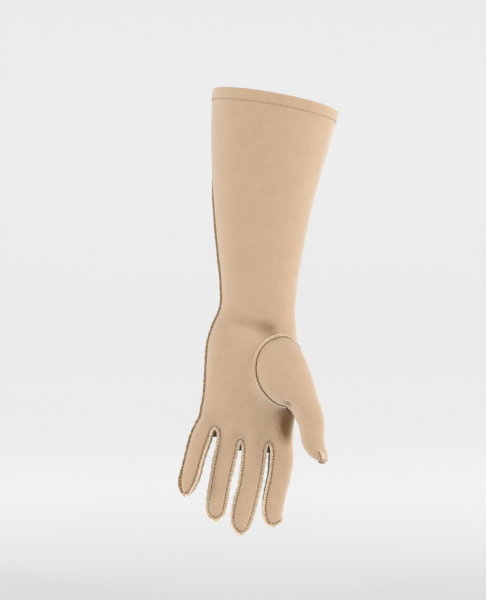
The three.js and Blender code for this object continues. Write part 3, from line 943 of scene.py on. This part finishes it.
def add_piece(name, points, faces, material, slot, replaced=(), layers=None):
    mesh = smooth_mesh(name, points, faces, material)
    for layer_name, values in (layers or {}).items():
        layer = mesh.attributes.new(layer_name, "FLOAT", "POINT")
        layer.data.foreach_set("value", values)
    piece = linked(name, mesh)
    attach(piece, "root")
    if replaced:
        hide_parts(*replaced)
    return piece


SHELTER_REACH = 24.0  # other cloth counts as near a point in directions in which it is nearer than this
SHELTER_RAYS = 14
SHELTER_START = 0.3  # the search starts this far off the cloth
SHELTER_WEIGHT, SHELTER_ROUNDS = 0.5, 6  # how it is made even
DENT_PAINTED_SHADE = 0.11  # painted shade that a dent adds for each millimetre of its depth
SHELTER_BELOW = 190.0  # above this drop no near cloth is looked for to paint shade


def painted_occlusion(points, normals):
    """Share of the directions outside each point in which other cloth is near, which sets its painted
    occlusion shade.
    """
    share = (np.arange(SHELTER_RAYS) + 0.5) / SHELTER_RAYS
    turns = np.arange(SHELTER_RAYS) * math.pi * (3 - math.sqrt(5))
    rise, reach = np.sqrt(1 - share), np.sqrt(share)
    aside = sideways(normals)
    other = np.cross(normals, aside)
    blocked = np.zeros(len(points))
    low = np.flatnonzero(points[:, 2] < -SHELTER_BELOW)
    for k in range(SHELTER_RAYS):
        flat = math.cos(turns[k]) * aside[low] + math.sin(turns[k]) * other[low]
        ways = rise[k] * normals[low] + reach[k] * flat
        for index, way in zip(low, ways):
            start = Vector(points[index] + SHELTER_START * normals[index])
            blocked[index] += skin_tree.ray_cast(start, Vector(way), SHELTER_REACH)[0] is not None
    return blocked / SHELTER_RAYS


PANEL_NODES = {
    "main_panel": ["sleeve", "hand", "little_finger", "ring_finger", "middle_finger", "index_finger"],
    "thumb": ["thumb_base", "thumb"],
}
seam_points = np.concatenate([course[0] for course in seam_courses.values()])
# distance to the seams sets the painted shade in their valleys
seam_distance = distance_to(seam_points, panel_points)
panel_triangles = np.concatenate(list(panels.values()))
normals = point_normals(panel_points, panel_triangles)
# painted occlusion shade: near cloth, plus more in the dents, made even over the cloth
painted_occlusion_share = painted_occlusion(panel_points, normals) + DENT_PAINTED_SHADE * dent_depths(panel_points, normals)
weight = np.full(len(panel_points), SHELTER_WEIGHT)
painted_occlusion_share = np.repeat(painted_occlusion_share[:, None], 3, axis=1)
painted_occlusion_share = smoothed(painted_occlusion_share, panel_triangles, weight, SHELTER_ROUNDS)[:, 0]
for name, part in panels.items():
    wall_points, faces, source = walled(panel_points, normals, part, WALL)
    nodes_replaced = PANEL_NODES.get(name, [name])
    layers = {"seam_distance": seam_distance[source], "painted_occlusion": painted_occlusion_share[source]}
    material = shade_cloth_copy if name.startswith("fourchette") else cloth
    add_piece(f"{name}_cloth", wall_points, faces, material, "cloth", nodes_replaced, layers)


# Overlocked seams
HALF_HEIGHT = (SEAM_HEIGHT + SEAM_SUNK) / 2
RIDGE_MIDDLE = (SEAM_HEIGHT - SEAM_SUNK) / 2


class Seam:
    """Ridge of cloth edges along a course on the skin, leaning over to one side."""

    def __init__(self, course, leans, turn=1, closed=False, sizes=(1.0, 1.0), dash=NEEDLE_DASH):
        self.line, normals = course
        self.dash = dash
        self.closed = closed
        share = np.linspace(0, 1, len(self.line))
        step = share * len(share)
        waver = 1 + WAVER * np.sin(step / WAVER_STEPS[0]) * np.cos(step / WAVER_STEPS[1])
        self.sizes = waver * np.interp(share, np.linspace(0, 1, len(sizes)), sizes)
        if closed:
            ahead, behind = np.roll(self.line, -1, axis=0), np.roll(self.line, 1, axis=0)
            self.along = unit(ahead - behind)
        else:
            self.along = unit(np.gradient(self.line, axis=0))
        lean = np.radians(np.interp(share, np.linspace(0, 1, len(leans)), leans))[:, None]
        self.normals = normals
        self.side = turn * unit(np.cross(self.along, normals))
        self.up = unit(np.cos(lean) * normals + np.sin(lean) * self.side)
        self.across = unit(np.cross(self.along, self.up))
        self.marks = lengths_along(self.line)
        self.length = self.marks[-1]

    def places(self, marks, rise, aside, leaning=True):
        """Points at lengths along the seam, by how far they rise off the cloth and lie aside."""
        marks, rise, aside = np.broadcast_arrays(marks, rise, aside)
        axes = (self.up, self.across) if leaning else (self.normals, self.side)
        line, up, across = (at_marks(marks, self.marks, values) for values in (self.line, *axes))
        size = np.interp(marks, self.marks, self.sizes)[..., None]
        return line + size * (rise[..., None] * up + aside[..., None] * across)

    def ridge(self):
        turns = full_turn(SEAM_SIDES)
        from_end = np.minimum(self.marks, self.length - self.marks)
        taper = np.clip(from_end / SEAM_TAPER, SEAM_END_SIZE, 1)[:, None] ** 0.5
        if self.closed:
            taper = np.ones_like(taper)
        taper = taper * (1 + SCALLOP * np.cos(2 * math.pi * self.marks / STITCH_PITCH))[:, None]
        rise = RIDGE_MIDDLE + taper * HALF_HEIGHT * np.cos(turns)[None]
        aside = taper * SEAM_THICKNESS / 2 * np.sin(turns)[None]
        points = self.places(self.marks[:, None], rise, aside).reshape(-1, 3)
        rings = len(self.marks)
        if self.closed:
            return points, (grid_faces(rings + 1, SEAM_SIDES) % len(points)).tolist()
        return points, capped_faces(rings, SEAM_SIDES)

    def loops(self):
        """Paths of the threads that wrap round the ridge."""
        starts = np.arange(STITCH_PITCH / 2, self.length - STITCH_PITCH / 2, STITCH_PITCH)
        turns = np.radians(np.linspace(-LOOP_TURN, LOOP_TURN, LOOP_POINTS))
        starts = starts + STRAY * STITCH_PITCH * np.sin(STRAY_TURN * np.arange(len(starts)) ** 2)
        marks = starts[:, None] + STITCH_SLANT * STITCH_PITCH * turns[None] / turns[-1]
        rise = RIDGE_MIDDLE + (HALF_HEIGHT + THREAD_RADIUS / 2) * np.cos(turns)
        aside = (SEAM_THICKNESS / 2 + THREAD_RADIUS / 2) * np.sin(turns)
        return self.places(marks, rise, aside)

    def needle_stitches(self):
        """Paths of the stitches that show beside the ridge, on the side it leans away from."""
        starts = np.arange(STITCH_PITCH, self.length - STITCH_PITCH, STITCH_PITCH)
        along = np.linspace(-0.5, 0.5, NEEDLE_POINTS)
        starts = starts + STRAY * STITCH_PITCH * np.cos(STRAY_TURN * np.arange(len(starts)) ** 2)
        marks = starts[:, None] + self.dash * STITCH_PITCH * along
        rise = NEEDLE_RISE - NEEDLE_DIP * along**2
        return self.places(marks, rise, -NEEDLE_ASIDE, leaning=False)

    def chains(self):
        """Paths of the two threads that lock the loops along the crest."""
        marks = np.arange(0, self.length, STITCH_PITCH / CHAIN_STEPS)
        sway = CHAIN_SWAY * np.sin(2 * math.pi * marks / STITCH_PITCH)
        rise = RIDGE_MIDDLE + HALF_HEIGHT
        return [self.places(marks, rise, sway), self.places(marks, rise, -sway)]


def tubes(paths, radius, sides=5):
    """Threads along paths that all have the same number of points."""
    paths = np.asarray(paths)
    along = unit(np.gradient(paths, axis=1))
    aside = sideways(along)
    other = np.cross(along, aside)
    turns = full_turn(sides)[:, None]
    rings = np.cos(turns) * aside[:, :, None] + np.sin(turns) * other[:, :, None]
    points = paths[:, :, None] + radius * rings
    count, length = paths.shape[:2]
    faces = grid_faces(length, sides)
    faces = faces[None] + (np.arange(count) * length * sides)[:, None, None]
    return points.reshape(-1, 3), faces.reshape(-1, 4).tolist()


# How far each seam leans over to its side, in degrees, and its size, both at even steps along it
SEAM_LEANS = {
    "palm_seam_little_ring": (5, 5, 10, 20, 20, 20),
    "palm_seam_ring_middle": (20, 20, 15, 5, 5),
    "palm_seam_middle_index": (20, 20, 15, 8, 8),
    **{f"back_seam_{name}": (20, 20) for name in PALM_SEAMS},
    "side_seam": (25, 25),
    "thumb_seam": (50, 50),
}
SIDE_SEAM_SIZES = np.interp(np.linspace(0, 1, 101), (0, 0.93, 0.965, 1), (0.7, 0.7, 1.2, 0.9))
THUMB_SEAM_SIZES = np.interp(seam_courses["thumb_seam"][0][:, 0], (4, 10, 13, 22), (0.76, 0.6, 0.35, 0.35))
SEAM_SIZES = {"side_seam": SIDE_SEAM_SIZES, "thumb_seam": THUMB_SEAM_SIZES}
seams = {}
for name, leans in SEAM_LEANS.items():
    turn = -1 if name.startswith("back") else 1
    sizes = SEAM_SIZES.get(name, (1.0, 1.0))
    round_thumb = name == "thumb_seam"
    dash = CLOSE_DASH if round_thumb else NEEDLE_DASH
    seams[name] = Seam(seam_courses[name], leans, turn, round_thumb, sizes, dash)


for name, seam in seams.items():
    radius = THREAD_RADIUS * min(1, seam.sizes.min() + SMALL_SEAM_THREAD)
    chains, stitches = tubes(seam.chains(), radius, sides=4), seam.needle_stitches()
    # the side seam is painted darker, in tan, gold and brown, for the shade it lies in
    if name == "side_seam":
        add_piece(f"{name}_edge", *seam.ridge(), shaded_tan_edge, "seam", [name])
        add_piece(f"{name}_thread", *tubes(seam.loops(), SIDE_LOOP_RADIUS), shade_brown_thread, "seam")
        add_piece(f"{name}_chain_thread", *chains, shaded_gold_thread, "seam")
        add_piece(f"{name}_needle_thread", *tubes(stitches, THREAD_RADIUS), shaded_gold_thread, "seam")
        continue
    # needle stitches are painted dark brown for the shade in their holes; on the thumb a heavier line of
    # painted shadow lower down
    needle_radius = NEEDLE_RADIUS
    if name == "thumb_seam":
        drops = -stitches[:, :1, 2]
        needle_radius = np.interp(drops, THUMB_NEEDLE_DROPS, THUMB_NEEDLE_RADII)[..., None, None]
    add_piece(f"{name}_edge", *seam.ridge(), raw_edge, "seam", [name])
    add_piece(f"{name}_thread", *joined(tubes(seam.loops(), radius), chains), cream_thread, "seam")
    add_piece(f"{name}_needle_thread", *tubes(stitches, needle_radius), shade_brown_thread, "seam")


# Pinched cloth at the thumb's tip, as (x, drop) on the plane y = 0, stitched down on its left, with its leans
# and sizes along it. The flap's pale edge is painted light, and the dark stitching and end are painted shade.
THUMB_TIP_SEAMS = {
    "thumb_tip_seam": (
        [(35.4, 318.2), (36.8, 316.4), (38.8, 315.8), (40.2, 318.2), (41.4, 321.6), (42.0, 324.4)],
        (30, 60, 70), (0.3, 0.5, 0.8, 1.1, 1.1), painted_lit_edge,
    ),
    # the end seam's dark edge is painted shade at the bottom of the tip
    "thumb_end_seam": ([(38.4, 325.0), (40.4, 326.0), (43.0, 326.4)], (30, 30), (1.0, 1.0), dark_edge),
}
THUMB_TIP_DEPTH = -27.0

for name, (route, leans, sizes, edge) in THUMB_TIP_SEAMS.items():
    line = curve_through(route, SEAM_STEP / 2)
    course = settled(seen_line(line, THUMB_TIP_DEPTH))
    seam = Seam(course, leans, turn=-1, sizes=sizes, dash=CLOSE_DASH)
    add_piece(f"{name}_edge", *seam.ridge(), edge, "seam")
    add_piece(f"{name}_needle_thread", *tubes(seam.needle_stitches(), THREAD_RADIUS), painted_shadow_edge, "seam")

# Loose thread ends, as (x, drop) on the plane y = 0
THREAD_TAILS = [
    [(-51.5, 376.6), (-50.4, 378.0), (-49.8, 379.2)],
    [(4.6, 376.4), (5.9, 374.6), (6.5, 372.6)],
    [(4.8, 376.6), (6.2, 378.0), (6.9, 379.6)],
    [(-34.0, 304.2), (-32.4, 303.0), (-31.0, 304.4)],
    [(1.4, 212.6), (3.0, 211.2), (4.2, 212.4)],
    [(4.6, 211.0), (6.0, 212.2), (7.6, 211.2)],
]
TAIL_STEP = 0.2
TAIL_POINTS = 8
TAIL_DEPTH = -6.0
TAIL_LIFT = 0.6


tails = []
for route in THREAD_TAILS:
    line = curve_through(route, TAIL_STEP)
    picked = line[np.linspace(0, len(line) - 1, TAIL_POINTS).astype(int)]
    tails.append(seen_line(picked, TAIL_DEPTH))
lifted = np.array(tails) - (0.0, TAIL_LIFT, 0.0)
add_piece("thread_tails", *tubes(lifted, THREAD_RADIUS), cream_thread, "seam")


# Hem: a strip folded inwards and stitched down. Its section runs up the outer layer, over the fold, down
# the inner layer and back between the two. Columns: depth below the opening, lift off the sleeve.
HEM_PROFILE = np.array([
    (11.4, -0.4), (11.3, -0.2), (11.0, 0.2), (10.2, 0.42), (6.0, 0.5), (3.2, 0.5),
    (1.9, 0.35), (1.1, 0.0), (0.8, -0.65), (1.1, -1.35), (2.0, -1.8), (5.0, -2.1),
    (10.0, -2.2), (13.8, -2.2), (14.3, -1.9), (14.2, -1.3), (13.8, -1.1), (5.0, -1.0),
    (2.6, -0.9), (2.3, -0.75), (2.6, -0.6), (5.0, -0.6), (10.9, -0.9), (11.2, -0.6),
])
HEM_AROUND = 288
HEM_STITCH_PITCH = 3.0
HEM_STITCH_LENGTH = 0.9
HEM_THREAD_RADIUS = 0.25
HEM_SAMPLES, HEM_STITCH_POINTS = 4000, 6
HEM_LINE_LIFT = 0.1  # the pitch is measured this far off the sleeve
HEM_STITCH_ABOVE = 0.3  # the stitches lie this far above the hem's lower edge
HEM_STITCH_TILTS = (-0.3, 0.9)  # every other stitch rises, the rest slant down
HEM_STITCH_LIFT, HEM_STITCH_BULGE = 0.36, 0.2
FAR_FROM_SEAMS = 9.0


def on_sleeve(depth, lift, turns):
    """Points at a depth below the tilted opening, lifted off the sleeve's outline."""
    drops = depth
    for _ in range(4):
        places = outline_points(SLEEVE_AND_HAND, drops, turns)
        drops = (depth + places[..., 0] * math.sin(HEM_TILT)) / math.cos(HEM_TILT)
    middle_x, half_width, middle_y, half_depth, _ = ovals_at(SLEEVE_AND_HAND, drops)
    across = (places[..., 0] - middle_x) / half_width**2
    deep = (places[..., 1] - middle_y) / half_depth**2
    outward = unit(np.stack([across, deep, np.zeros_like(deep)], axis=-1))
    return places + lift[..., None] * outward


def hem():
    turns = full_turn(HEM_AROUND)
    depth, lift = (np.repeat(column[:, None], HEM_AROUND, axis=1) for column in HEM_PROFILE.T)
    points = on_sleeve(depth, lift, np.broadcast_to(turns, depth.shape)).reshape(-1, 3)
    rings = len(HEM_PROFILE)
    faces = grid_faces(rings + 1, HEM_AROUND)[:, ::-1] % (rings * HEM_AROUND)
    layers = {"seam_distance": np.full(len(points), FAR_FROM_SEAMS), "painted_occlusion": np.zeros(len(points))}
    return add_piece("hem_cloth", points, faces.tolist(), cloth, "cloth", ["hem"], layers)


def hem_stitches():
    turns = np.linspace(0, 2 * math.pi, HEM_SAMPLES)
    depth, lift = np.full(HEM_SAMPLES, HEM_HEIGHT), np.full(HEM_SAMPLES, HEM_LINE_LIFT)
    length = lengths_along(on_sleeve(depth, lift, turns))
    starts = np.arange(0, length[-1] - HEM_STITCH_PITCH, HEM_STITCH_PITCH)
    along = np.linspace(0, 1, HEM_STITCH_POINTS)
    marks = starts[:, None] + HEM_STITCH_LENGTH * along
    at = np.interp(marks, length, turns)
    tilt = np.where(np.arange(len(starts)) % 2, HEM_STITCH_TILTS[1], HEM_STITCH_TILTS[0])[:, None]
    slant = HEM_HEIGHT - HEM_STITCH_ABOVE + tilt * (along - 0.5)
    lift = np.broadcast_to(HEM_STITCH_LIFT + HEM_STITCH_BULGE * np.sin(math.pi * along), at.shape)
    add_piece("hem_stitches", *tubes(on_sleeve(slant, lift, at), HEM_THREAD_RADIUS), dark_edge, "seam")


hem()
hem_stitches()


# Stage and light
FLOOR = -455.0
FLOOR_REACH = 2600.0
WALL_BEND = 800.0
WALL_TOP = 3500.0
STAGE_SIDES, BEND_POINTS = 96, 16
STAGE_GREY = (0.5, 0.5, 0.5, 1)
STAGE_ROUGHNESS = 0.9
GLOW_SPAN, GLOW = (-0.8, 0.7), (0.02, 0.5)  # the stage glows more from front to back, in metres along Y
# Place and size in metres, power in watts
LIGHTS = {
    "right": ((1.5, -0.45, 0.15), (0.7, 1.5), 19.5),
    "left": ((-1.5, -0.4, 0.1), (0.8, 1.6), 16.5),
    "front": ((0.1, -1.6, -0.1), (0.9, 0.6), 11),
}
WORLD_STRENGTH = 0.25


def stage():
    pale, nodes, shader = principled("pale", {
        "Base Color": STAGE_GREY, "Roughness": STAGE_ROUGHNESS, "Emission Color": WHITE,
    })
    place = nodes.add("TexCoord").outputs["Object"]
    depth = nodes.add("SeparateXYZ", {"Vector": place}).outputs["Y"]
    nodes.set(shader, {"Emission Strength": nodes.ranged(depth, GLOW_SPAN, GLOW, "SMOOTHSTEP")})
    bend = np.linspace(0, math.pi / 2, BEND_POINTS)
    reach = np.concatenate([[0], FLOOR_REACH + WALL_BEND * np.sin(bend), [FLOOR_REACH + WALL_BEND]])[:, None]
    height = np.concatenate([[FLOOR], FLOOR + WALL_BEND * (1 - np.cos(bend)), [WALL_TOP]])
    around = full_turn(STAGE_SIDES)
    height = np.repeat(height[:, None], STAGE_SIDES, axis=1)
    points = np.stack([reach * np.cos(around), reach * np.sin(around), height], axis=-1).reshape(-1, 3)
    faces = grid_faces(len(reach), STAGE_SIDES).tolist()
    backdrop = linked("backdrop", smooth_mesh("backdrop", points, faces, pale))


def softbox(name, place, size, power):
    light = bpy.data.lights.new(name, "AREA")
    light.shape = "RECTANGLE"
    light.size, light.size_y = size
    light.energy = power
    box = linked(name, light)
    box.location = place
    box.rotation_euler = (Vector(CAMERA_TARGET * MM) - Vector(place)).to_track_quat("-Z", "Y").to_euler()
    box.visible_camera = False


stage()
for name, settings in LIGHTS.items():
    softbox(name, *settings)
world = bpy.data.worlds.new("world")
bpy.context.scene.world = world
world.use_nodes = True
world.node_tree.nodes["Background"].inputs["Color"].default_value = WHITE
world.node_tree.nodes["Background"].inputs["Strength"].default_value = WORLD_STRENGTH
bpy.context.scene.view_settings.view_transform = "Standard"
